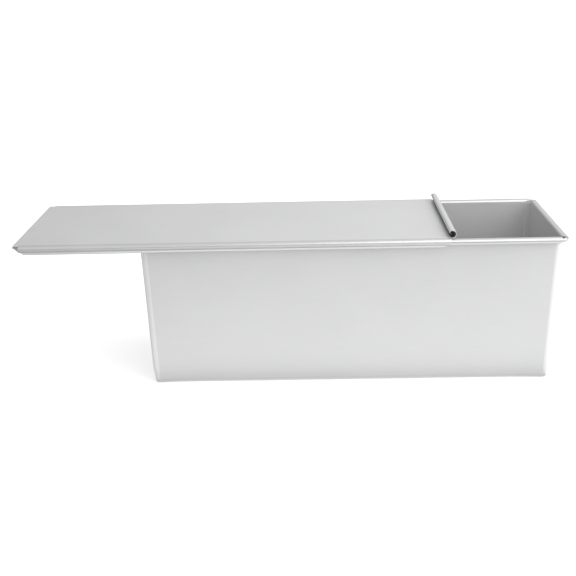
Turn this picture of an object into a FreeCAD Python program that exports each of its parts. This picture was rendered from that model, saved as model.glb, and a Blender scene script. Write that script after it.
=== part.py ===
"""Lidded loaf pan: a tub folded from one steel sheet, a wire loop in its rolled rim, and a
sliding lid folded from a second sheet.

Millimetres, +Z up. The origin is the middle of the tub's resting face. X runs along the pan,
Y across it. The lid is modelled part way open: it slides along X on the two long rims.
"""
import FreeCAD, Part
import math
import os

VECTOR = FreeCAD.Vector
X_AXIS = VECTOR(1, 0, 0)
Y_AXIS = VECTOR(0, 1, 0)
Z_AXIS = VECTOR(0, 0, 1)

# ---- driving dimensions: the tub -------------------------------------------------------
inner_length = 330.2      # inside the tub, along X, at the rim
inner_width = 115.0       # inside the tub, along Y, at the rim
rim_height = 120.6        # from the resting face to the middle of the rolled rim
wall_draft = 3.5          # how far each wall leans in between the rim and the base
sheet = 0.7               # aluminised steel sheet, tub and lid
bend_radius = 4.5         # outside radius of the base bends and the upright corners

# ---- driving dimensions: the rolled rim and its wire ---------------------------------------
wire_diameter = 3.2
wire_clearance = 0.05     # radial, between the wire and the curl round it
wire_bend_radius = 4.0    # middle line of the wire, at the four corners
rim_flat = 1.6            # flat on top of the rim, between the wall's bend and the wire
curl_setback = 0.4        # the curls stop this far short of the wire's corner bends
side_curl_sweep = 318.0   # degrees of curl on the long sides
end_curl_sweep = 262.0    # degrees of curl on the ends, which leaves room for the gussets

# ---- driving dimensions: the folded corner gussets, two layers thick --------------------------
gusset_layers = 2
gusset_foot = 6.0         # height where the folded edge leaves the corner bend
gusset_reach = 40.0       # widest point, measured along the end wall from the corner
gusset_top_reach = 30.0   # width left at the top, under the curl
gusset_top_gap = 0.6      # below the wire

# ---- driving dimensions: the lid ----------------------------------------------------------
lid_offset = -92.2        # middle of the lid along X, as it stands part open
lid_overhang = 7.8        # how much longer the lid is than the rim, over the rolled edges
lid_rest_gap = 0.3        # between the lid's panel and the top of the rim
lid_side_gap = 0.6        # each side, between the channel and the rim
lid_under_gap = 1.2       # between the channel's lower flange and the rim
flange_wall_gap = 1.2     # between the edge of the lower flange and the tub's wall
channel_bend_radius = 3.4 # outside radius of the channel's two bends
channel_start = 5.3       # from the hook's fold to the start of the channels
channel_end = 4.4         # from the far side of the roll to the end of the channels
channel_nose_height = 4.6 # height of the slanted cuts on the channel ends
left_nose_length = 4.4    # length of the slanted cut at the hook end
right_nose_length = 9.0   # length of the slanted cut at the roll end
hook_corner_cut = 3.1     # the hook lip stops this far inside the channel's face
hook_lip_length = 6.4     # straight part of the lip
hook_fold_angle = 142.0   # degrees the hook lip is folded back under the panel
hook_fold_radius = 0.5    # inside radius of that fold
roll_diameter = 6.7       # finger roll, outside
roll_width_margin = 5.4   # the roll stops this far inside the channel's face
roll_outer_sweep = 205.0  # degrees at the full diameter
roll_inner_radius = 1.0   # inside radius of the tucked end
roll_inner_sweep = 165.0  # degrees of the tucked end

# ---- derived sizes ---------------------------------------------------------------------------
half_length = inner_length / 2 + sheet          # outside the wall, at the rim
half_width = inner_width / 2 + sheet
curl_inner_radius = wire_diameter / 2 + wire_clearance
curl_outer_radius = curl_inner_radius + sheet
wire_x = half_length + curl_inner_radius + rim_flat     # middle line of the wire
wire_y = half_width + curl_inner_radius + rim_flat
rim_top = rim_height + curl_outer_radius
rim_bottom = rim_height - curl_outer_radius
gusset_thickness = gusset_layers * sheet

lid_length = 2 * (wire_x + curl_outer_radius) + lid_overhang   # hook's fold to the roll's far side
panel_under = rim_top + lid_rest_gap
panel_top = panel_under + sheet
channel_face_y = wire_y + curl_outer_radius + lid_side_gap + sheet
channel_bottom = rim_bottom - lid_under_gap - sheet
flange_edge_y = half_width + flange_wall_gap
hook_x = lid_offset - lid_length / 2
roll_x = lid_offset + lid_length / 2
channel_left = hook_x + channel_start
channel_right = roll_x - channel_end


# ---- helpers -----------------------------------------------------------------------------------
def polygon_face(points):
    """Flat face through the points."""
    return Part.Face(Part.makePolygon(points + [points[0]]))


def frustum(half_x, half_y, bottom, top):
    """Block whose four sides lean in towards the base by the walls' draft."""
    def half_sizes(z):
        lean = wall_draft * (rim_height - z) / rim_height
        return half_x - lean, half_y - lean
    low_x, low_y = half_sizes(bottom)
    top_x, top_y = half_sizes(top)
    block = Part.makeWedge(-low_x, bottom, -low_y, -top_y, -top_x, low_x, top, low_y, top_y, top_x)
    block.rotate(VECTOR(0, 0, 0), X_AXIS, 90)
    return block


def tub_block(half_x, half_y, bottom, radius):
    """Leaning block with rounded upright corners and a rounded foot."""
    block = frustum(half_x, half_y, bottom, rim_height)
    middle = (bottom + rim_height) / 2
    rounded = [edge for edge in block.Edges if edge.CenterOfMass.z < middle + 1]
    return block.makeFillet(radius, rounded)


def curl_face(sweep):
    """Section of a rolled edge in X-Z: up from the wall, over the flat, and round the origin."""
    def arc(middle_x, radius, start, end):
        angles = [math.radians(angle) for angle in (start, (start + end) / 2, end)]
        return [VECTOR(middle_x + radius * math.cos(a), 0, radius * math.sin(a)) for a in angles]
    runs = [
        arc(-rim_flat, curl_outer_radius, 180, 90),
        arc(0, curl_outer_radius, 90, 180 - sweep),
        arc(0, curl_inner_radius, 180 - sweep, 90),
        arc(-rim_flat, curl_inner_radius, 90, 180),
    ]
    edges = []
    for run, following in zip(runs, runs[1:] + runs[:1]):
        edges.append(Part.Arc(*run).toShape())
        edges.append(Part.LineSegment(run[-1], following[0]).toShape())
    return Part.Face(Part.Wire(edges))


def rolled_edge(sweep, half_run, distance, turn):
    """Rolled edge of the given half length, set out from the middle and turned about Z."""
    curl = curl_face(sweep)
    curl.translate(VECTOR(distance, -half_run, rim_height))
    solid = curl.extrude(VECTOR(0, 2 * half_run, 0))
    solid.rotate(VECTOR(0, 0, 0), Z_AXIS, turn)
    return solid


def bent_strip(x, z, heading, steps):
    """Face in X-Z of a strip of sheet, laid down as a press brake would.

    The strip's middle line starts at (x, z) and heads along the angle. A step is a length to
    run straight, or a pair of an angle to turn through and the inside radius of that bend.
    """
    left, right = [], []
    angle = math.radians(heading)
    half = sheet / 2

    def offset(px, pz, direction, distance):
        return VECTOR(px - distance * math.sin(direction), 0, pz + distance * math.cos(direction))

    first_left = offset(x, z, angle, half)
    first_right = offset(x, z, angle, -half)
    last_left, last_right = first_left, first_right
    for step in steps:
        if isinstance(step, tuple):
            turn = math.radians(step[0])
            side = math.copysign(1.0, turn)
            radius = step[1] + half
            centre = offset(x, z, angle, side * radius)
            mid_angle = angle + turn / 2
            angle += turn
            mid_point = offset(centre.x, centre.z, mid_angle, -side * radius)
            end_point = offset(centre.x, centre.z, angle, -side * radius)
            mid_left = offset(mid_point.x, mid_point.z, mid_angle, half)
            mid_right = offset(mid_point.x, mid_point.z, mid_angle, -half)
            x, z = end_point.x, end_point.z
            new_left = offset(x, z, angle, half)
            new_right = offset(x, z, angle, -half)
            left.append(Part.Arc(last_left, mid_left, new_left).toShape())
            right.append(Part.Arc(last_right, mid_right, new_right).toShape())
        else:
            x += step * math.cos(angle)
            z += step * math.sin(angle)
            new_left = offset(x, z, angle, half)
            new_right = offset(x, z, angle, -half)
            left.append(Part.LineSegment(last_left, new_left).toShape())
            right.append(Part.LineSegment(last_right, new_right).toShape())
        last_left, last_right = new_left, new_right
    start_edge = Part.LineSegment(first_left, first_right).toShape()
    end_edge = Part.LineSegment(last_left, last_right).toShape()
    return Part.Face(Part.Wire(Part.__sortEdges__(left + right + [start_edge, end_edge])))


def across(face, half_run):
    """Solid from a section in X-Z, run across the pan."""
    section = face.copy()
    section.translate(VECTOR(0, -half_run, 0))
    return section.extrude(VECTOR(0, 2 * half_run, 0))


# ---- the tub -----------------------------------------------------------------------------------
def gusset_pair(hollow):
    """The two folded corner gussets on the +X end, laid flat against the end wall."""
    thick = tub_block(half_length + gusset_thickness, half_width, 0, bend_radius)
    base_corner = half_width - wall_draft
    top = rim_height - wire_diameter / 2 - gusset_top_gap
    beyond = half_width + bend_radius
    outline = [
        (beyond, 0),
        (beyond, top),
        (half_width - gusset_top_reach, top),
        (base_corner - gusset_reach, gusset_foot + gusset_reach),
        (base_corner, gusset_foot),
        (base_corner, 0),
    ]
    keep = []
    for side in (1, -1):
        inside = half_length - wall_draft - bend_radius
        face = polygon_face([VECTOR(inside, side * y, z) for y, z in outline])
        keep.append(face.extrude(VECTOR(3 * bend_radius + wall_draft, 0, 0)))
    return [thick.common(region).cut(hollow) for region in keep]


def make_pan_body():
    """Base, four walls, folded gussets and the four rolled edges, all of one sheet."""
    hollow = tub_block(half_length - sheet, half_width - sheet, sheet, bend_radius - sheet)
    body = tub_block(half_length, half_width, 0, bend_radius).cut(hollow)
    side_run = wire_x - wire_bend_radius - curl_setback
    end_run = wire_y - wire_bend_radius - curl_setback
    pieces = []
    for turn in (0, 180):
        for gusset in gusset_pair(hollow):
            gusset.rotate(VECTOR(0, 0, 0), Z_AXIS, turn)
            pieces.append(gusset)
        pieces.append(rolled_edge(end_curl_sweep, end_run, wire_x, turn))
        pieces.append(rolled_edge(side_curl_sweep, side_run, wire_y, turn + 90))
    return body.multiFuse(pieces).removeSplitter()


def make_rim_wire():
    """One closed wire loop, straight in the curls and bent at the four corners."""
    run_x = wire_x - wire_bend_radius
    run_y = wire_y - wire_bend_radius
    radius = wire_diameter / 2
    pieces = []
    for side in (1, -1):
        along = VECTOR(-run_x, side * wire_y, rim_height)
        beside = VECTOR(side * wire_x, -run_y, rim_height)
        pieces.append(Part.makeCylinder(radius, 2 * run_x, along, X_AXIS))
        pieces.append(Part.makeCylinder(radius, 2 * run_y, beside, Y_AXIS))
    for quarter in range(4):
        sx = 1 if quarter in (0, 3) else -1
        sy = 1 if quarter in (0, 1) else -1
        bend = Part.makeTorus(wire_bend_radius, radius, VECTOR(0, 0, 0), Z_AXIS, 0, 360, 90)
        bend.rotate(VECTOR(0, 0, 0), Z_AXIS, 90 * quarter)
        bend.translate(VECTOR(sx * run_x, sy * run_y, rim_height))
        pieces.append(bend)
    return pieces[0].multiFuse(pieces[1:]).removeSplitter()


# ---- the lid -----------------------------------------------------------------------------------
def channel_section():
    """The lid's section across the pan, in X-Z, open downwards with a channel at each side."""
    inside = channel_bend_radius - sheet
    flange = channel_face_y - flange_edge_y - channel_bend_radius
    upright = panel_top - channel_bottom - 2 * channel_bend_radius
    panel = 2 * (channel_face_y - channel_bend_radius)
    bend = (-90, inside)
    steps = [flange, bend, upright, bend, panel, bend, upright, bend, flange]
    return bent_strip(-flange_edge_y, channel_bottom + sheet / 2, 180, steps)


def nose_cutter(tip_x, length):
    """Slanted cut on the channel ends: takes the lower flange off over the given length."""
    low = channel_bottom - sheet
    high = channel_bottom + channel_nose_height
    inner_x = tip_x + length
    outer_x = tip_x - length
    outline = [(tip_x, high), (inner_x, channel_bottom), (inner_x, low), (outer_x, low), (outer_x, high)]
    return across(polygon_face([VECTOR(x, 0, z) for x, z in outline]), channel_face_y + sheet)


def make_lid():
    """Panel, two side channels, hook lip and finger roll, all of one sheet."""
    section = channel_section()
    section.rotate(VECTOR(0, 0, 0), Z_AXIS, 90)
    section.translate(VECTOR(channel_left, 0, 0))
    slide = section.extrude(VECTOR(channel_right - channel_left, 0, 0))
    slide = slide.cut(nose_cutter(channel_left, left_nose_length))
    slide = slide.cut(nose_cutter(channel_right, -right_nose_length))

    middle = panel_under + sheet / 2
    fold_reach = hook_fold_radius + sheet
    hook_run = channel_start - fold_reach
    hook_steps = [hook_run, (hook_fold_angle, hook_fold_radius), hook_lip_length]
    hook = across(bent_strip(channel_left, middle, 180, hook_steps), channel_face_y - hook_corner_cut)

    roll_radius = roll_diameter / 2
    roll_run = channel_end - roll_radius
    roll_steps = [roll_run, (roll_outer_sweep, roll_radius - sheet), (roll_inner_sweep, roll_inner_radius)]
    roll = across(bent_strip(channel_right, middle, 0, roll_steps), channel_face_y - roll_width_margin)
    return slide.multiFuse([hook, roll]).removeSplitter()


# ---- write one STEP per piece --------------------------------------------------------------------
nodes = {
    "pan_body": make_pan_body(),
    "rim_wire": make_rim_wire(),
    "lid": make_lid(),
}
os.makedirs("parts", exist_ok=True)
for name, shape in nodes.items():
    solid = shape.Solids[0]
    print(name, "solids", len(shape.Solids), "valid", solid.isValid(), "volume", round(solid.Volume))
    solid.exportStep(os.path.join("parts", name + ".step"))
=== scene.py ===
"""Looks of the lidded loaf pan: tub, rim wire and sliding lid, in metres, in the CAD frame."""
import math

import bmesh
import bpy
from mathutils import Matrix, Vector, noise


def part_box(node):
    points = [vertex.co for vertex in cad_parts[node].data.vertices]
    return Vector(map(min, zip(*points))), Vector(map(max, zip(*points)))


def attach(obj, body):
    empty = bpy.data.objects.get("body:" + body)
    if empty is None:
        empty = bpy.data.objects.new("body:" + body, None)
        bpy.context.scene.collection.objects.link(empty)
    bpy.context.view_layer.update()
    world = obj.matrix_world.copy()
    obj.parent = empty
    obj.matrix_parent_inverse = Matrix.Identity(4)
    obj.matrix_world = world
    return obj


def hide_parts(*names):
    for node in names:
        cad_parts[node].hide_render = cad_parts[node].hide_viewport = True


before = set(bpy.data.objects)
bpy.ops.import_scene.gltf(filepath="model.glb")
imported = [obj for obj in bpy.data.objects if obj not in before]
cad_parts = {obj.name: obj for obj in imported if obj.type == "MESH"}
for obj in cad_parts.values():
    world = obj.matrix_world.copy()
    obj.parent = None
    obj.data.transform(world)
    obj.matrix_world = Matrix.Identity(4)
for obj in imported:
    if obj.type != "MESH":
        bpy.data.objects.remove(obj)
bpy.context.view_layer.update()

MM = 0.001

# ---- sizes of the folded sheets, as the design has them ------------------------------------------
SHEET = 0.7 * MM
WIRE_DIAMETER = 3.2 * MM
WIRE_CLEARANCE = 0.05 * MM
WIRE_BEND = 4.0 * MM
RIM_FLAT = 1.6 * MM
CURL_SETBACK = 0.4 * MM
TUB_BEND = 4.5 * MM
WALL_DRAFT = 3.5 * MM
SIDE_CURL_SWEEP = math.radians(318)
END_CURL_SWEEP = math.radians(262)
GUSSET_FOOT = 6.0 * MM
GUSSET_REACH = 40.0 * MM
GUSSET_TOP_REACH = 30.0 * MM
GUSSET_TOP_GAP = 0.6 * MM
CHANNEL_BEND = 3.4 * MM
CHANNEL_START = 5.3 * MM
CHANNEL_END = 4.4 * MM
CHANNEL_NOSE_HEIGHT = 4.6 * MM
LEFT_NOSE = 4.4 * MM
RIGHT_NOSE = 9.0 * MM
FLANGE_WALL_GAP = 1.2 * MM
HOOK_CORNER_CUT = 3.1 * MM
HOOK_LIP = 6.4 * MM
HOOK_FOLD = math.radians(142)
HOOK_FOLD_RADIUS = 0.5 * MM
ROLL_DIAMETER = 6.7 * MM
ROLL_MARGIN = 5.4 * MM
ROLL_SWEEP = math.radians(205)
ROLL_TUCK_RADIUS = 1.0 * MM
ROLL_TUCK_SWEEP = math.radians(165)

# ---- places, all read from the frame -------------------------------------------------------------
tub_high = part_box("pan_body")[1]
lid_low, lid_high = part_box("lid")
HALF = SHEET / 2
CURL_INSIDE = WIRE_DIAMETER / 2 + WIRE_CLEARANCE
CURL_OUTSIDE = CURL_INSIDE + SHEET
CURL_MIDDLE = CURL_INSIDE + HALF
RIM_Z = tub_high[2] - CURL_OUTSIDE
WIRE_X = tub_high[0] - CURL_OUTSIDE
WIRE_Y = tub_high[1] - CURL_OUTSIDE
WALL_X = WIRE_X - CURL_MIDDLE - RIM_FLAT   # middle of the end wall's sheet, at the rim
WALL_Y = WIRE_Y - CURL_MIDDLE - RIM_FLAT
BEND = TUB_BEND - HALF                 # middle line of the tub's bends
CHANNEL_FACE = lid_high[1]
CHANNEL_BOTTOM = lid_low[2]
PANEL_TOP = lid_high[2] - ROLL_DIAMETER + SHEET
CHANNEL_LEFT = lid_low[0] + CHANNEL_START
CHANNEL_RIGHT = lid_high[0] - CHANNEL_END
FLANGE_EDGE = WALL_Y + HALF + FLANGE_WALL_GAP


# ---- small helpers -------------------------------------------------------------------------------
def lerp(a, b, t):
    return a + (b - a) * t


def smooth(t):
    """Soft step from 0 to 1."""
    t = min(max(t, 0.0), 1.0)
    return t * t * (3 - 2 * t)


def spread(start, end, count):
    """Evenly spaced values, both ends included."""
    return [lerp(start, end, i / (count - 1)) for i in range(count)]


def ripple(x, y, z, size, seed):
    """Smooth seeded unevenness, about -1 to 1, with hills of the given size."""
    return noise.noise(Vector((x / size + seed, y / size - seed, z / size + 0.37 * seed)))


def power(value, exponent):
    return math.copysign(abs(value) ** exponent, value)


def hump(value, middle, width):
    """Bell of height 1 about the middle."""
    return math.exp(-((value - middle) / width) ** 2)


class Skin:
    """A sheet's middle surface, laid down as columns of points that neighbours are joined to."""

    def __init__(self):
        self.points = []
        self.faces = []
        self.bends = []
        self.wear_and_shade_values = []

    def add(self, point, bend=0.0, wear_and_shade=0.0):
        """Adds a point: bend is 1 on a fold, wear lightens the sheet when over 0 and darkens it when
        under: rubbing on the finger roll, painted highlight and painted shade elsewhere.
        """
        self.points.append(point)
        self.bends.append(bend)
        self.wear_and_shade_values.append(wear_and_shade)
        return len(self.points) - 1

    def join(self, left, right):
        """Quads between two columns of point numbers, over the rows that both have."""
        for row in range(min(len(left), len(right)) - 1):
            corners = (left[row], right[row], right[row + 1], left[row + 1])
            if None not in corners:
                self.faces.append(corners)

    def mesh(self, name):
        mesh = bpy.data.meshes.new(name)
        mesh.from_pydata(self.points, [], self.faces)
        for title, values in (("bend", self.bends), ("wear_and_shade", self.wear_and_shade_values)):
            mesh.attributes.new(title, "FLOAT", "POINT").data.foreach_set("value", values)
        return mesh


def plain_piece(name, sources, body, node, materials):
    """Evaluated meshes of the source objects as one plain piece that rides on a body."""
    joined = bmesh.new()
    depsgraph = bpy.context.evaluated_depsgraph_get()
    for source in sources:
        part = bpy.data.meshes.new_from_object(source.evaluated_get(depsgraph))
        joined.from_mesh(part)
    mesh = bpy.data.meshes.new(name)
    joined.to_mesh(mesh)
    joined.free()
    for source in sources:
        bpy.data.objects.remove(source)
    mesh.materials.clear()
    for material in materials:
        mesh.materials.append(material)
    piece = bpy.data.objects.new(name, mesh)
    bpy.context.scene.collection.objects.link(piece)
    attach(piece, body)
    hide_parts(node)
    return piece


SHEARED_EDGE = 0.10 * MM          # softened corner of a sheared edge
WELD_DISTANCE = 0.01 * MM
SHEET_SLOTS = 2                   # face of the sheet and sheared edge


def thick_sheet(name, mesh, thickness=SHEET):
    """Object that gives a middle surface its sheet thickness and its sheared edges a soft corner."""
    thing = bpy.data.objects.new(name, mesh)
    bpy.context.scene.collection.objects.link(thing)
    for _ in range(SHEET_SLOTS):
        mesh.materials.append(None)
    mesh.shade_smooth()
    weld = thing.modifiers.new("weld", "WELD")
    weld.merge_threshold = WELD_DISTANCE
    shell = thing.modifiers.new("shell", "SOLIDIFY")
    shell.thickness = thickness
    shell.offset = 0.0
    shell.use_quality_normals = True
    shell.material_offset_rim = 1
    bevel = thing.modifiers.new("edge", "BEVEL")
    bevel.width = SHEARED_EDGE
    bevel.segments = 2
    bevel.limit_method = "ANGLE"
    bevel.angle_limit = math.radians(55)
    weighted = thing.modifiers.new("shade", "WEIGHTED_NORMAL")
    weighted.keep_sharp = True
    return thing


# ---- shader maths --------------------------------------------------------------------------------
class Wire:
    """A shader socket, or a number, that Python's operators can be used on."""

    def __init__(self, tree, socket):
        self.tree = tree
        self.socket = socket

    def maths(self, operation, *others):
        values = (self,) + others
        return self.tree.node("ShaderNodeMath", {"operation": operation}, dict(enumerate(values)))

    def __add__(self, other):
        return self.maths("ADD", other)

    def __radd__(self, other):
        return self.maths("ADD", other)

    def __sub__(self, other):
        return self.maths("SUBTRACT", other)

    def __rsub__(self, other):
        return self.tree.node("ShaderNodeMath", {"operation": "SUBTRACT"}, {0: other, 1: self})

    def __mul__(self, other):
        return self.maths("MULTIPLY", other)

    def __rmul__(self, other):
        return self.maths("MULTIPLY", other)

    def clamp(self, low=0.0, high=1.0):
        return self.maths("MAXIMUM", low).maths("MINIMUM", high)


class Shading:
    """A shader tree: node() adds a node and returns its wire, set() feeds the last node."""

    def __init__(self, owner, last_node):
        owner.use_nodes = True
        self.nodes = owner.node_tree.nodes
        self.links = owner.node_tree.links
        self.last = self.nodes[last_node]

    def node(self, kind, settings=None, inputs=None, output=0):
        made = self.nodes.new(kind)
        for key, value in (settings or {}).items():
            setattr(made, key, value)
        for key, value in (inputs or {}).items():
            self.feed(made.inputs[key], value)
        return Wire(self, made.outputs[output])

    def feed(self, socket, value):
        if isinstance(value, Wire):
            self.links.new(value.socket, socket)
        else:
            socket.default_value = value

    def set(self, name, value):
        self.feed(self.last.inputs[name], value)


class Finish(Shading):
    """One material made of nodes."""

    def __init__(self, name):
        self.material = bpy.data.materials.new(name)
        super().__init__(self.material, "Principled BSDF")

    def noise(self, place, scale, detail=2.0, roughness=0.5):
        return self.node("ShaderNodeTexNoise", {"noise_dimensions": "3D"},
                         {"Vector": place, "Scale": scale, "Detail": detail, "Roughness": roughness})

    def stretched(self, place, scale):
        return self.node("ShaderNodeMapping", {}, {"Vector": place, "Scale": scale})

    def bump(self, height, strength, distance):
        sizes = {"Strength": strength, "Distance": distance, "Height": height}
        return self.node("ShaderNodeBump", {}, sizes)

    def mix_colour(self, amount, low, high):
        """Colour between two others; the sockets are numbered because their names repeat."""
        made = self.nodes.new("ShaderNodeMix")
        made.data_type = "RGBA"
        self.feed(made.inputs[0], amount)
        self.feed(made.inputs[6], low)
        self.feed(made.inputs[7], high)
        return Wire(self, made.outputs[2])


def grey(level):
    """A neutral grey, cool by a hair."""
    return (level * 0.996, level * 0.998, level, 1.0)


SHEET_LEVEL = 0.72                # base colour of the sheet, as a grey
SHEET_LEVEL_SPAN = 0.28           # how far wear, grain, painted highlight and painted shade can take it, either way
SHEET_METALLIC = 0.45
BEND_METALLIC = 0.25              # added where the bends are burnished
SHEET_ROUGHNESS = 0.45
BEND_POLISH = 0.12                # taken off the roughness on the bends
BEND_TONE = 0.14                  # taken off the tone on the bends
CLOUD_SCALE = 22.0
SPECKLE_SCALE = 1500.0
GRAIN_SCALE = (55.0, 2600.0, 2600.0)    # the rolling grain runs along X
CLOUD_TONE, SPECKLE_TONE, GRAIN_TONE = 0.09, 0.08, 0.08
CLOUD_ROUGHNESS, SPECKLE_ROUGHNESS = 0.10, 0.08
SHEET_BUMP = 0.22
SHEET_BUMP_DEPTH = 0.04 * MM
SHADE_NOISE_SCALE = 900.0
DRAG_SCALE = 2200.0
BLOTCH_SCALE = 600.0
WIRE_BUMP = 0.2
WIRE_BUMP_DEPTH = 0.03 * MM


def sheet_finish(name):
    """Aluminised sheet: matte, faint rolling grain, soft cloudy tone, bends a little polished, with
    painted highlight and painted shade where the points carry them.
    """
    finish = Finish(name)
    place = finish.node("ShaderNodeTexCoord", output=3)
    bend = finish.node("ShaderNodeAttribute", {"attribute_name": "bend"}, output=2)
    wear_and_shade = finish.node("ShaderNodeAttribute", {"attribute_name": "wear_and_shade"}, output=2)
    clouds = finish.noise(place, CLOUD_SCALE, 3.0, 0.55)
    speckle = finish.noise(place, SPECKLE_SCALE, 2.0, 0.6)
    grain = finish.noise(finish.stretched(place, GRAIN_SCALE), 1.0, 2.0, 0.5)
    tone = (clouds - 0.5) * CLOUD_TONE + (speckle - 0.5) * SPECKLE_TONE + (grain - 0.5) * GRAIN_TONE
    # the point attribute adds painted highlight and painted shade on corners, gusset wraps and lid
    # channels, and rubbing on the finger roll
    tone = tone + wear_and_shade - bend * BEND_TONE
    darkest, lightest = grey(SHEET_LEVEL - SHEET_LEVEL_SPAN), grey(SHEET_LEVEL + SHEET_LEVEL_SPAN)
    finish.set("Base Color", finish.mix_colour((tone + 0.5).clamp(), darkest, lightest))
    finish.set("Metallic", bend * BEND_METALLIC + SHEET_METALLIC)
    uneven = (clouds - 0.5) * CLOUD_ROUGHNESS + (speckle - 0.5) * SPECKLE_ROUGHNESS
    finish.set("Roughness", (uneven - bend * BEND_POLISH + SHEET_ROUGHNESS).clamp())
    finish.set("Normal", finish.bump(speckle * 0.5 + grain * 0.5, SHEET_BUMP, SHEET_BUMP_DEPTH))
    return finish.material


def roll_inside_finish():
    """Inside of the finger roll: dull and near-black, painted shade in the hollow of the roll."""
    finish = Finish("roll_inside")
    place = finish.node("ShaderNodeTexCoord", output=3)
    shade_noise = finish.noise(place, SHADE_NOISE_SCALE, 3.0, 0.6)
    # painted shade: near-black base colour inside the roll
    finish.set("Base Color", finish.mix_colour(shade_noise, grey(0.05), grey(0.22)))
    finish.set("Metallic", 0.6)
    finish.set("Roughness", shade_noise * 0.2 + 0.55)
    return finish.material


def edge_finish():
    """Sheared edge of the sheet: bare steel, brighter and smoother, with fine drag marks."""
    finish = Finish("sheared_edge")
    place = finish.node("ShaderNodeTexCoord", output=3)
    drag = finish.noise(place, DRAG_SCALE, 2.0, 0.6)
    finish.set("Base Color", finish.mix_colour(drag, grey(0.60), grey(0.80)))
    finish.set("Metallic", 1.0)
    finish.set("Roughness", drag * 0.15 + 0.30)
    return finish.material


def wire_finish():
    """Drawn steel wire with a dull zinc skin."""
    finish = Finish("rim_wire")
    place = finish.node("ShaderNodeTexCoord", output=3)
    blotch = finish.noise(place, BLOTCH_SCALE, 3.0, 0.6)
    finish.set("Base Color", finish.mix_colour(blotch, grey(0.50), grey(0.68)))
    finish.set("Metallic", 1.0)
    finish.set("Roughness", blotch * 0.2 + 0.35)
    finish.set("Normal", finish.bump(blotch, WIRE_BUMP, WIRE_BUMP_DEPTH))
    return finish.material


# ---- the tub -------------------------------------------------------------------------------------
LONG_STATIONS = 113
END_STATIONS = 39
CORNER_STATIONS = 11
WALL_ROWS = 34
BEND_ROWS = 9
CURL_RISE_STEPS = 9
CURL_ROUND_STEPS = 21
TIP_ZONE = 11.0 * MM        # how far from a corner the bends tighten towards its tip
TIP_SHARPNESS = 2.2
LOW_BEND_ZONE = 9.0 * MM    # height over which the upright bends tighten towards the base
CORNER_PAINTED_HIGHLIGHT = 0.22          # upright bends, painted lighter as a highlight
SEAM_DEPTH = 0.28 * MM
SEAM_STEP = 2               # steps of the corner's bend between the crease and the end wall
ANGLE_MATCH = 0.01
WALL_WAVE = 0.22 * MM
BASE_WAVE = 0.12 * MM
CURL_FLARE_ZONE = 0.1       # share of a side over which its curl spreads towards the wire's corner
CURL_FLARE_TURN = math.radians(70)


def tip_power(distance):
    """Exponent of a bend's section: a circle along the edges, tighter near a corner's tip."""
    return 2.0 + TIP_SHARPNESS * math.exp(-max(distance, 0.0) / TIP_ZONE)


def ring_stations():
    """Stations once round the tub: (kind, side, value), value being -1..1 or the corner's angle."""
    stations = []
    for quarter, (kind, count) in enumerate((("long", LONG_STATIONS), ("end", END_STATIONS)) * 2):
        stations += [(kind, quarter, f) for f in spread(-1.0, 1.0, count)]
        angles = spread(0.0, math.pi / 2, CORNER_STATIONS)[1:-1]
        stations += [("corner", quarter, angle) for angle in angles]
    return stations


def quarter_turned(x, y, quarter):
    """Point turned by quarters of a turn about Z."""
    for _ in range(quarter):
        x, y = -y, x
    return x, y


def tub_point(station, z, inset, corner, plan_power):
    """Point of the tub's middle surface, given the bend's inset and corner radius at this level."""
    kind, quarter, value = station
    lean = WALL_DRAFT * (RIM_Z - z) / RIM_Z
    half_x, half_y = WALL_X - lean, WALL_Y - lean
    run, out = (half_x, half_y) if quarter % 2 == 0 else (half_y, half_x)
    if kind == "corner":
        px = run - BEND + corner * power(math.sin(value), 2 / plan_power)
        py = -(out - BEND + corner * power(math.cos(value), 2 / plan_power))
    else:
        px = value * (run - BEND)
        py = -(out - inset)
    x, y = quarter_turned(px, py, quarter)
    return x, y, z


def seam_depth(station, z):
    """Crease down each upright corner inside, where the end wall's fold meets the long wall."""
    kind, quarter, value = station
    if kind != "corner":
        return 0.0
    steps = CORNER_STATIONS - 1
    step = steps - SEAM_STEP if quarter % 2 == 0 else SEAM_STEP
    if abs(value - step * (math.pi / 2) / steps) > ANGLE_MATCH:
        return 0.0
    return SEAM_DEPTH * smooth((z - 4 * MM) / (8 * MM))


def wall_wave(station, x, y, z):
    """Slight unevenness of a pressed wall, fading out at its bends."""
    kind, quarter, value = station
    if kind == "corner":
        return 0.0
    fade = smooth((1 - abs(value)) * 6)
    fade = fade * smooth((z - TUB_BEND) / (15 * MM)) * smooth((RIM_Z - z) / (20 * MM))
    return WALL_WAVE * fade * ripple(x, y, z, 75 * MM, 3.1 + quarter)


def corner_distance(station):
    kind, quarter, value = station
    if kind == "corner":
        return 0.0
    half = WALL_X if quarter % 2 == 0 else WALL_Y
    return (1 - abs(value)) * half


def outward(station):
    """Unit direction out of the tub at a station."""
    kind, quarter, value = station
    px, py = (math.sin(value), -math.cos(value)) if kind == "corner" else (0.0, -1.0)
    return quarter_turned(px, py, quarter)


def curl_path(sweep):
    """Rolled edge from the wall to its free lip: (distance out, rise, turn in radians)."""
    rise = [(0.0, turn) for turn in spread(0.0, math.pi / 2, CURL_RISE_STEPS)[1:]]
    turns = rise + [(RIM_FLAT, turn) for turn in spread(math.pi / 2, sweep, CURL_ROUND_STEPS)]
    path = []
    for flat, turn in turns:
        path.append((flat + CURL_MIDDLE * (1 - math.cos(turn)), CURL_MIDDLE * math.sin(turn), turn))
    return path


CURL_ROWS = len(curl_path(math.pi))


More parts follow.
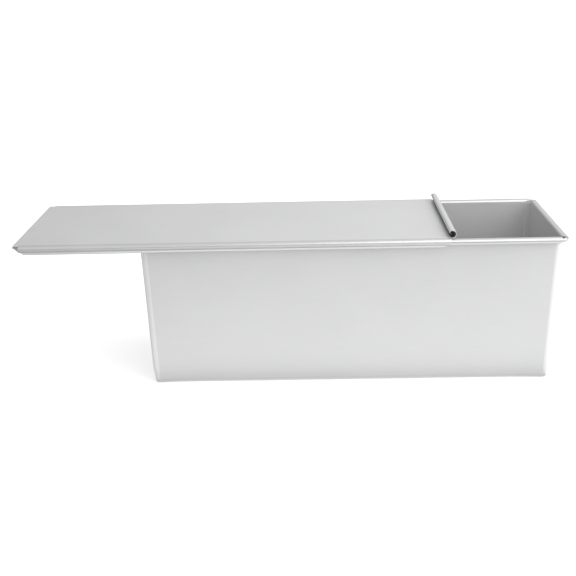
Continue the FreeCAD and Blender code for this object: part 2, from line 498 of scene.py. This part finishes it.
def curl_column(skin, station):
    """Points of the rolled edge above a straight station, from its free lip down to the rim line."""
    kind, quarter, value = station
    sweep = SIDE_CURL_SWEEP if quarter % 2 == 0 else END_CURL_SWEEP
    half_run = (WALL_X if quarter % 2 == 0 else WALL_Y) - BEND
    reach = (WIRE_X if quarter % 2 == 0 else WIRE_Y) - WIRE_BEND - CURL_SETBACK
    out = WALL_Y if quarter % 2 == 0 else WALL_X
    column = []
    for away, rise, turn in reversed(curl_path(sweep)):
        near_end = max(0.0, (abs(value) - 1 + CURL_FLARE_ZONE) / CURL_FLARE_ZONE)
        flare = smooth(turn / CURL_FLARE_TURN) * near_end ** 2
        along = math.copysign(lerp(abs(value) * half_run, reach, flare), value)
        x, y = quarter_turned(along, -out - away, quarter)
        column.append(skin.add((x, y, RIM_Z + rise), 1.0))
    return column


def tub_skin():
    """Middle surface of the whole folded tub, gussets apart."""
    skin = Skin()
    columns = []
    for station in ring_stations():
        straight = station[0] != "corner"
        column = curl_column(skin, station) if straight else [None] * CURL_ROWS
        nx, ny = outward(station)
        # painted highlight down the upright corner bends
        fold = 0.0 if straight else CORNER_PAINTED_HIGHLIGHT
        for z in spread(RIM_Z, HALF + BEND, WALL_ROWS):
            low = math.exp(-(z - BEND) / LOW_BEND_ZONE)
            x, y, _ = tub_point(station, z, 0.0, BEND, 2.0 + TIP_SHARPNESS * low)
            push = wall_wave(station, x, y, z) + seam_depth(station, z)
            column.append(skin.add((x + nx * push, y + ny * push, z), 0.0, fold))
        exponent = tip_power(corner_distance(station))
        for theta in spread(0.0, math.pi / 2, BEND_ROWS)[1:]:
            drop = power(math.sin(theta), 2 / exponent)
            keep = power(math.cos(theta), 2 / exponent)
            z = HALF + BEND * (1 - drop)
            x, y, _ = tub_point(station, z, BEND * (1 - keep), BEND * keep, tip_power(0.0))
            column.append(skin.add((x, y, z), 1.0 if theta < 1.5 else 0.4))
        columns.append(column)
    for left, right in zip(columns, columns[1:] + columns[:1]):
        skin.join(left, right)
    add_base(skin)
    return skin


def add_base(skin):
    """Flat base inside the bends, a grid whose border meets the last row of the walls."""
    lean = WALL_DRAFT * (RIM_Z - HALF) / RIM_Z
    half_x, half_y = WALL_X - lean - BEND, WALL_Y - lean - BEND
    rows = []
    for v in spread(-1.0, 1.0, END_STATIONS):
        row = []
        for u in spread(-1.0, 1.0, LONG_STATIONS):
            x, y = u * half_x, v * half_y
            fade = smooth((1 - abs(u)) * 8) * smooth((1 - abs(v)) * 4)
            wave = BASE_WAVE * fade * (0.5 + ripple(x, y, 0, 90 * MM, 8.2))
            row.append(skin.add((x, y, HALF + wave)))
        rows.append(row)
    for low, high in zip(rows, rows[1:]):
        for i in range(LONG_STATIONS - 1):
            skin.faces.append((low[i], high[i], high[i + 1], low[i + 1]))


GUSSET_ROWS = 40
WRAP_STEPS = 8
FLAP_STEPS = 12
FOLD_STEPS = 5
GUSSET_SHEET = SHEET * 0.97       # keeps the gusset's faces off the wall's
WRAP_PAINTED_HIGHLIGHT, WRAP_PAINTED_SHADE = 0.24, -0.55      # painted highlight round the corner, painted shade along its outer fold
WRAP_FOLD_ANGLE = 0.5


def gusset_skin(sign_x, sign_y):
    """Folded gusset of one corner: it wraps round from the long wall, lies on the end wall, and
    turns back under itself along its slanted edge."""
    skin = Skin()
    top = RIM_Z - WIRE_DIAMETER / 2 - GUSSET_TOP_GAP
    knee = GUSSET_FOOT + GUSSET_REACH
    start = 2.5 * MM
    rows = []
    base_corner = WALL_Y - WALL_DRAFT
    heights = spread(start, knee, GUSSET_ROWS // 2) + spread(knee, top, GUSSET_ROWS // 2)
    for z in sorted(set(heights)):
        lean = WALL_DRAFT * (RIM_Z - z) / RIM_Z
        half_x, half_y = WALL_X - lean, WALL_Y - lean
        grow = smooth((z - start) / (9 * MM))
        outer = half_x + 2 * SHEET * grow
        inner = half_x + SHEET * (0.4 + 0.62 * grow)
        if z <= knee:
            edge = base_corner - max(z - GUSSET_FOOT, 0.0)
        else:
            climb = (z - knee) / (top - knee)
            edge = lerp(base_corner - GUSSET_REACH, WALL_Y - GUSSET_TOP_REACH, climb)
        edge = min(edge, half_y - BEND - 0.4 * MM)
        row = [skin.add((outer - BEND - 1.2 * MM, half_y - 0.05 * MM, z))]
        for angle in spread(math.pi / 2, 0.0, WRAP_STEPS):
            wrap = (outer - BEND + BEND * math.cos(angle), half_y - BEND + BEND * math.sin(angle), z)
            # painted shade along the wrap's outer fold, painted highlight round the rest of the
            # corner
            wear_and_shade = lerp(WRAP_PAINTED_SHADE, WRAP_PAINTED_HIGHLIGHT, smooth(angle / WRAP_FOLD_ANGLE))
            row.append(skin.add(wrap, 0.0, wear_and_shade))
        for y in spread(half_y - BEND, edge, FLAP_STEPS)[1:]:
            row.append(skin.add((outer, y, z), 0.8 if y == edge else 0.0))
        gap = (outer - inner) / 2
        for angle in spread(0.0, math.pi, FOLD_STEPS)[1:-1]:
            folded = z <= knee + 0.01 * MM
            point = ((outer + inner) / 2 + gap * math.cos(angle), edge - gap * math.sin(angle), z)
            row.append(skin.add(point, 1.0) if folded else None)
        for y in spread(edge, half_y - BEND + 1.5 * MM, FLAP_STEPS):
            row.append(skin.add((inner, y, z)))
        rows.append(row)
    for low, high in zip(rows, rows[1:]):
        skin.join(low, high)
    skin.points = [(sign_x * x, sign_y * y, z) for x, y, z in skin.points]
    if sign_x * sign_y < 0:
        skin.faces = [tuple(reversed(face)) for face in skin.faces]
    return skin


def make_tub(materials):
    sources = [thick_sheet("tub_sheet", tub_skin().mesh("tub_sheet"))]
    for sign_x in (1, -1):
        for sign_y in (1, -1):
            skin = gusset_skin(sign_x, sign_y)
            sources.append(thick_sheet("gusset", skin.mesh("gusset"), GUSSET_SHEET))
    return plain_piece("folded_tub", sources, "pan", "pan_body", materials)


# ---- the rim wire --------------------------------------------------------------------------------
WIRE_BEND_STEPS = 14
WIRE_SIDES = 24


def wire_tree(material):
    """Geometry Nodes: a rounded rectangle of the given size, swept with the wire's round section."""
    tree = bpy.data.node_groups.new("rim_wire_loop", "GeometryNodeTree")
    sizes = {
        "Length": 2 * WIRE_X,
        "Width": 2 * WIRE_Y,
        "Corner Radius": WIRE_BEND,
        "Wire Radius": WIRE_DIAMETER / 2,
        "Height": RIM_Z,
    }
    for name, value in sizes.items():
        socket = tree.interface.new_socket(name, in_out="INPUT", socket_type="NodeSocketFloat")
        socket.default_value = value
    tree.interface.new_socket("Geometry", in_out="OUTPUT", socket_type="NodeSocketGeometry")

    def add(kind, settings=None, links=None):
        made = tree.nodes.new(kind)
        for key, value in (settings or {}).items():
            setattr(made, key, value)
        for key, value in (links or {}).items():
            if isinstance(value, bpy.types.NodeSocket):
                tree.links.new(value, made.inputs[key])
            else:
                made.inputs[key].default_value = value
        return made

    entry = add("NodeGroupInput").outputs
    loop = add("GeometryNodeCurvePrimitiveQuadrilateral", {"mode": "RECTANGLE"},
               {"Width": entry["Length"], "Height": entry["Width"]})
    rounding = {"Curve": loop.outputs[0], "Radius": entry["Corner Radius"], "Count": WIRE_BEND_STEPS}
    round_loop = add("GeometryNodeFilletCurve", {"mode": "POLY"}, rounding)
    section = add("GeometryNodeCurvePrimitiveCircle", {"mode": "RADIUS"},
                  {"Resolution": WIRE_SIDES, "Radius": entry["Wire Radius"]})
    swept = add("GeometryNodeCurveToMesh", {},
                {"Curve": round_loop.outputs[0], "Profile Curve": section.outputs[0]})
    lift = add("ShaderNodeCombineXYZ", {}, {"Z": entry["Height"]})
    placed = add("GeometryNodeSetPosition", {},
                 {"Geometry": swept.outputs[0], "Offset": lift.outputs[0]})
    shaded = add("GeometryNodeSetShadeSmooth", {}, {"Geometry": placed.outputs[0]})
    real = add("GeometryNodeRealizeInstances", {}, {"Geometry": shaded.outputs[0]})
    coated = add("GeometryNodeSetMaterial", {}, {"Geometry": real.outputs[0], "Material": material})
    leave = add("NodeGroupOutput")
    tree.links.new(coated.outputs[0], leave.inputs["Geometry"])
    return tree


def make_wire(material):
    source = bpy.data.objects.new("wire_source", bpy.data.meshes.new("wire_source"))
    bpy.context.scene.collection.objects.link(source)
    modifier = source.modifiers.new("loop", "NODES")
    modifier.node_group = wire_tree(material)
    return plain_piece("rim_wire_loop", [source], "pan", "rim_wire", [material])


# ---- the lid -------------------------------------------------------------------------------------
MAIN_ROWS = 96
PANEL_STATIONS = 45
CHANNEL_BEND_STEPS = 9
GROOVE_Z = CHANNEL_BOTTOM + 4.1 * MM    # pressed groove along the channel's face
GROOVE_DEPTH = 0.45 * MM
GROOVE_WIDTH = 0.55 * MM
CREASE_DEPTH = 0.22 * MM                # crease where the panel meets the channel's bend
CREASE_WIDTH = 0.5 * MM
GROOVE_PAINTED_SHADE, CREASE_PAINTED_SHADE = -0.35, -0.30       # painted shade along the groove and the crease
FOOT_PAINTED_SHADE = -0.30                       # painted shade on the underside of the channel
GROOVE_PAINTED_HIGHLIGHT = 0.25                      # painted highlight line above the groove
HIGHLIGHT_RISE = 2.2 * GROOVE_WIDTH
ROLL_WEAR = 0.22
PANEL_WAVE = 0.22 * MM
ROLL_RADIUS = ROLL_DIAMETER / 2
ROLL_AXIS_X = lid_high[0] - ROLL_RADIUS
ROLL_AXIS_Z = lid_high[2] - ROLL_RADIUS


def bent_path(x, z, heading, steps):
    """Points of a middle line laid down step by step: (length, pieces) or (turn, radius, pieces)."""
    path = []
    for step in steps:
        if len(step) == 2:
            length, pieces = step
            for _ in range(pieces):
                x += length / pieces * math.cos(heading)
                z += length / pieces * math.sin(heading)
                path.append((x, z, 0.0))
        else:
            turn, radius, pieces = step
            for _ in range(pieces):
                chord = 2 * radius * math.sin(abs(turn) / pieces / 2)
                heading += turn / pieces / 2
                x += chord * math.cos(heading)
                z += chord * math.sin(heading)
                heading += turn / pieces / 2
                path.append((x, z, 1.0))
    return path


def lid_section():
    """Stations across the lid, front flange to back flange: (y, z, bend, wear), the last being
    painted shade in the groove, along the crease and under the channel, and a painted highlight above
    the groove.
    """
    radius = CHANNEL_BEND - HALF
    flange = CHANNEL_FACE - FLANGE_EDGE - CHANNEL_BEND
    upright = PANEL_TOP - CHANNEL_BOTTOM - 2 * CHANNEL_BEND
    low = CHANNEL_BOTTOM + HALF
    quarter = (-math.pi / 2, radius, CHANNEL_BEND_STEPS)
    steps = [(flange, 2), quarter, (upright, 5), quarter]
    path = [(-FLANGE_EDGE, low, 0.0)] + bent_path(-FLANGE_EDGE, low, math.pi, steps)
    side = []
    for y, z, bend in path:
        groove = hump(z, GROOVE_Z, GROOVE_WIDTH)
        highlight_line = hump(z, GROOVE_Z + HIGHLIGHT_RISE, GROOVE_WIDTH)
        foot = smooth((CHANNEL_BOTTOM + CHANNEL_BEND / 2 - z) / (CHANNEL_BEND / 2))
        # painted highlight above the groove, painted shade in the groove and under the channel
        wear_and_shade = GROOVE_PAINTED_HIGHLIGHT * highlight_line + GROOVE_PAINTED_SHADE * groove + FOOT_PAINTED_SHADE * foot
        side.append((y + GROOVE_DEPTH * groove, z, bend, wear_and_shade))
    edge = CHANNEL_FACE - CHANNEL_BEND
    roll = CHANNEL_FACE - ROLL_MARGIN
    half = [-edge + CREASE_WIDTH * f for f in (0.45, 0.9, 1.4, 2.0)] + [-roll]
    panel = sorted(half + [-y for y in half] + spread(-roll, roll, PANEL_STATIONS)[1:-1])
    crease_y = edge - CREASE_WIDTH
    flat = []
    for y in panel:
        crease = hump(abs(y), crease_y, CREASE_WIDTH)
        # painted shade along the crease where the panel meets the channel
        flat.append((y, PANEL_TOP - HALF - CREASE_DEPTH * crease, 0.0, CREASE_PAINTED_SHADE * crease))
    back = [(-y, z, bend, wear_and_shade) for y, z, bend, wear_and_shade in reversed(side)]
    return side + flat + back


def hook_path():
    run = CHANNEL_START - HOOK_FOLD_RADIUS - SHEET
    steps = [(run, 4), (HOOK_FOLD, HOOK_FOLD_RADIUS + HALF, 9), (HOOK_LIP, 6)]
    return bent_path(CHANNEL_LEFT, PANEL_TOP - HALF, math.pi, steps)


def roll_path():
    run = (CHANNEL_END - ROLL_RADIUS, 2)
    outer = (ROLL_SWEEP, ROLL_RADIUS - HALF, 26)
    tuck = (ROLL_TUCK_SWEEP, ROLL_TUCK_RADIUS + HALF, 14)
    steps = [run, outer, tuck]
    return bent_path(CHANNEL_RIGHT, PANEL_TOP - HALF, 0.0, steps)


def channel_ends(z):
    """Where a channel's sheet starts and stops along X: slanted on its lower half."""
    low = (CHANNEL_BOTTOM + CHANNEL_NOSE_HEIGHT - z) / CHANNEL_NOSE_HEIGHT
    cut = min(max(low, 0.0), 1.0)
    return CHANNEL_LEFT + LEFT_NOSE * cut, CHANNEL_RIGHT - RIGHT_NOSE * cut


def panel_wave(x, y):
    """Slight drumming of the flat panel, fading out at its borders."""
    edge = CHANNEL_FACE - CHANNEL_BEND - 2 * CREASE_WIDTH
    across = smooth((edge - abs(y)) / (22 * MM))
    along = smooth((x - lid_low[0]) / (30 * MM)) * smooth((CHANNEL_RIGHT - x) / (25 * MM))
    return PANEL_WAVE * across * along * ripple(x, y, 0.0, 95 * MM, 5.7)


def lid_skin():
    """Middle surface of the whole lid: panel, channels, hook lip and finger roll."""
    skin = Skin()
    hook = list(reversed(hook_path()))
    roll = roll_path()
    half_hook = CHANNEL_FACE - HOOK_CORNER_CUT
    half_roll = CHANNEL_FACE - ROLL_MARGIN
    columns = []
    for y, z, bend, wear_and_shade in lid_section():
        start, stop = channel_ends(z)
        drop = PANEL_TOP - HALF - z
        column = [None] * len(hook)
        if abs(y) <= half_hook and drop < CHANNEL_BEND / 2:
            column = [skin.add((px, y, pz - drop), pb) for px, pz, pb in hook]
        for x in spread(start, stop, MAIN_ROWS):
            column.append(skin.add((x, y, z + panel_wave(x, y)), bend, wear_and_shade))
        if abs(y) <= half_roll + 0.01 * MM:
            column += [skin.add((px, y, pz), pb, ROLL_WEAR * pb) for px, pz, pb in roll]
        columns.append(column)
    for left, right in zip(columns, columns[1:]):
        skin.join(left, right)
    return skin


SHEET_FACE, ROLL_INSIDE = 0, 2          # material slots of the lid; 1 is the sheared edge


def darken_roll(mesh):
    """Gives the inside of the finger roll its painted-shade finish."""
    inside = ROLL_RADIUS - SHEET / 4
    for face in mesh.polygons:
        dx = face.center.x - ROLL_AXIS_X
        dz = face.center.z - ROLL_AXIS_Z
        away = math.hypot(dx, dz)
        inwards = face.normal.x * dx + face.normal.z * dz < 0 or away < inside - SHEET
        if away < inside and inwards and face.material_index == SHEET_FACE:
            face.material_index = ROLL_INSIDE


def make_lid(materials):
    source = thick_sheet("lid_sheet", lid_skin().mesh("lid_sheet"))
    lid = plain_piece("sliding_lid", [source], "lid", "lid", materials)
    darken_roll(lid.data)


# ---- studio --------------------------------------------------------------------------------------
FLOOR_GLOW = 0.45
FLOOR_HALF = 14.0
WORLD_LEVEL = 0.66
WORLD_SIDE = 0.17
WORLD_FRONT_DIP = 0.37
WORLD_BACK_LEFT_DIP = 1.35
WORLD_FLANKS = 0.35
WORLD_TOP = 0.20
WORLD_BELOW = 0.33
SOFTBOX_PLACE = (0.50, -0.32, 0.58)
SOFTBOX_TARGET = (0.05, 0.0, 0.10)
SOFTBOX_SIZE = (1.15, 0.92)
SOFTBOX_WATTS = 4.8
CARD_PLACE = (0.14, -0.19, 0.002)
CARD_SIZE = (0.75, 0.24)
CARD_WATTS = 0.22
CAMERA_PLACE = Vector((-0.03203, -0.80545, 0.34726))
CAMERA_YAW = -0.0242
CAMERA_PITCH = 0.3389
CAMERA_ROLL = -0.0249
CAMERA_LENS = 61.79
SENSOR = 36.0


def make_camera():
    forward = Vector((math.sin(CAMERA_YAW) * math.cos(CAMERA_PITCH),
                      math.cos(CAMERA_YAW) * math.cos(CAMERA_PITCH), -math.sin(CAMERA_PITCH)))
    level = Vector((math.cos(CAMERA_YAW), -math.sin(CAMERA_YAW), 0.0))
    upright = level.cross(forward)
    right = math.cos(CAMERA_ROLL) * level + math.sin(CAMERA_ROLL) * upright
    up = -math.sin(CAMERA_ROLL) * level + math.cos(CAMERA_ROLL) * upright
    data = bpy.data.cameras.new("camera")
    data.sensor_width = SENSOR
    data.lens = CAMERA_LENS
    data.clip_end = 100.0
    camera = bpy.data.objects.new("camera", data)
    turn = Matrix((right, up, -forward)).transposed().to_4x4()
    camera.matrix_world = Matrix.Translation(CAMERA_PLACE) @ turn
    bpy.context.scene.collection.objects.link(camera)
    bpy.context.scene.camera = camera


def make_floor():
    """Wide pale floor, lit through from below like a light table."""
    mesh = bpy.data.meshes.new("floor")
    corners = [(x * FLOOR_HALF, y * FLOOR_HALF, 0) for x, y in ((-1, -1), (1, -1), (1, 1), (-1, 1))]
    mesh.from_pydata(corners, [], [(0, 1, 2, 3)])
    floor = bpy.data.objects.new("floor", mesh)
    bpy.context.scene.collection.objects.link(floor)
    finish = Finish("pale_floor")
    finish.set("Base Color", (0.90, 0.90, 0.90, 1))
    finish.set("Roughness", 0.9)
    finish.set("Emission Color", (1, 1, 1, 1))
    finish.set("Emission Strength", FLOOR_GLOW)
    mesh.materials.append(finish.material)
    floor.visible_glossy = False
    floor.visible_diffuse = False
    floor.visible_shadow = False


def soft_light(name, place, turn, size, watts):
    """Rectangular area light that the camera itself doesn't see."""
    data = bpy.data.lights.new(name, "AREA")
    data.shape = "RECTANGLE"
    data.size, data.size_y = size
    data.energy = watts
    light = bpy.data.objects.new(name, data)
    light.location = place
    light.rotation_euler = turn
    light.visible_camera = False
    bpy.context.scene.collection.objects.link(light)


def make_studio():
    """Pale sweep all round: darker low in front and behind on the left, brighter at both sides."""
    scene = bpy.context.scene
    scene.view_settings.view_transform = "Standard"
    world = bpy.data.worlds.new("studio")
    sky = Shading(world, "Background")
    direction = sky.node("ShaderNodeTexCoord", output=0)
    x, y, z = (sky.node("ShaderNodeSeparateXYZ", {}, {0: direction}, output=i) for i in range(3))
    sideways = x.maths("ABSOLUTE")
    low = (1.8 - z.maths("ABSOLUTE") * 4.0).clamp()
    front = (y * -1.4).clamp()
    level = WORLD_LEVEL + x * WORLD_SIDE - low * front * WORLD_FRONT_DIP
    level = level - (-0.08 - x).clamp() * y.clamp() * WORLD_BACK_LEFT_DIP
    level = level + (sideways * 2.5 - 1.5).clamp() * WORLD_FLANKS
    level = level + z.clamp() * WORLD_TOP + (z * -1.0).clamp() * WORLD_BELOW
    sky.set("Color", (1, 1, 1, 1))
    sky.set("Strength", level)
    scene.world = world
    make_floor()
    towards_pan = (Vector(SOFTBOX_TARGET) - Vector(SOFTBOX_PLACE)).to_track_quat("-Z", "Y").to_euler()
    soft_light("softbox", SOFTBOX_PLACE, towards_pan, SOFTBOX_SIZE, SOFTBOX_WATTS)
    soft_light("front_card", CARD_PLACE, (math.pi, 0, 0), CARD_SIZE, CARD_WATTS)


make_camera()
make_studio()
tub_finish = sheet_finish("tub_sheet")
lid_finish = sheet_finish("lid_sheet")
cut_edge = edge_finish()
make_tub([tub_finish, cut_edge])
make_wire(wire_finish())
make_lid([lid_finish, cut_edge, roll_inside_finish()])
